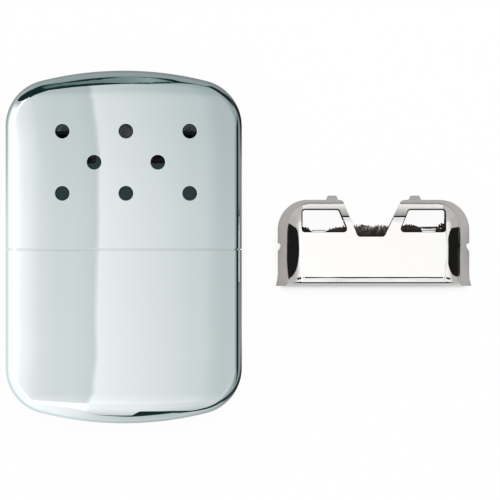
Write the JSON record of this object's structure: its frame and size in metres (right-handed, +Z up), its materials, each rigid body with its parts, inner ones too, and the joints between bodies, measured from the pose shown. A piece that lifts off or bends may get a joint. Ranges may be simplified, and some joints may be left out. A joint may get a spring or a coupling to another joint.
{
  "type": "catalytic hand warmer",
  "caption": "Flat pocket hand warmer: fuel tank with an oval neck, push-on catalytic burner, vented slide-off upper case, and a spare burner beside it.",
  "frame": {"origin": "on the surface the case lies on, under the middle of its back", "axes": "+X across the case towards the spare burner, +Y along the case from the tank to the vents, +Z up out of its front"},
  "size_m": [0.1303, 0.0984, 0.013],
  "materials": {
    "case_chrome": "mirror-polished chrome plate",
    "collar_nickel": "bright nickel plate",
    "burner_chrome": "pressed nickel-plated steel",
    "tray_steel": "plain steel",
    "catalyst_fibre": "loose platinised glass fibre",
    "felt": "pressed wool felt",
    "cotton": "loose cotton wadding"
  },
  "bodies": {
    "tank": {"tank_shell": "case_chrome", "tank_collar": "collar_nickel", "wadding_grille": "collar_nickel", "wick_felt": "felt", "cotton_wadding": "cotton"},
    "burner": {"burner_front_shell": "burner_chrome", "burner_back_shell": "burner_chrome", "burner_mat_tray": "tray_steel", "burner_catalyst_mat": "catalyst_fibre"},
    "cap": {"upper_case": "case_chrome"},
    "spare_burner": {"spare_burner_front_shell": "burner_chrome", "spare_burner_back_shell": "burner_chrome", "spare_burner_mat_tray": "tray_steel", "spare_burner_catalyst_mat": "catalyst_fibre"}
  },
  "joints": [
    {"name": "cap_pull", "type": "slide", "parent": "tank", "child": "cap", "axis": [0, 1, 0], "range_m": [0, 0.045]},
    {"name": "burner_pull", "type": "slide", "parent": "tank", "child": "burner", "axis": [0, 1, 0], "range_m": [0, 0.01]},
    {"name": "spare_burner_lift", "type": "slide", "parent": "tank", "child": "spare_burner", "axis": [0, 0, 1], "range_m": [0, 0.02]}
  ]
}
